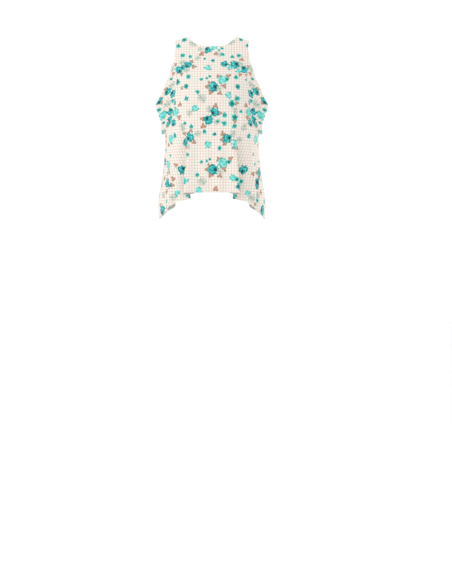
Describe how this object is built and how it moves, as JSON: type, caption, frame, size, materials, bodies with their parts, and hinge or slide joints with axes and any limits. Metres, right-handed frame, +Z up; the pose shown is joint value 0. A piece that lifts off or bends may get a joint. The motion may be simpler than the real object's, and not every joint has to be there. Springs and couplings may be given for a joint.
{
  "type": "a-line blouse",
  "caption": "Sleeveless A-line blouse in printed crepe, with a wide round neck, a flounce round each armhole and a hem that drops at the sides; worn form, open at neck, armholes and hem.",
  "frame": {"origin": "midway between the two neck points, the upper ends of the shoulder seams, at their height: where the shoulders carry the blouse", "axes": "+Z up; the front faces -Y; +X is the wearer's left"},
  "size_m": [0.3456, 0.2754, 0.5655],
  "materials": {
    "cloth": "matt crepe, cream with teal flowers and a thin tan check",
    "button": "pearly cream"
  },
  "bodies": {
    "root": {"front": "cloth", "back_left": "cloth", "back_right": "cloth", "flounce_left": "cloth", "flounce_right": "cloth", "back_loop": "cloth", "back_button": "button"}
  },
  "joints": []
}
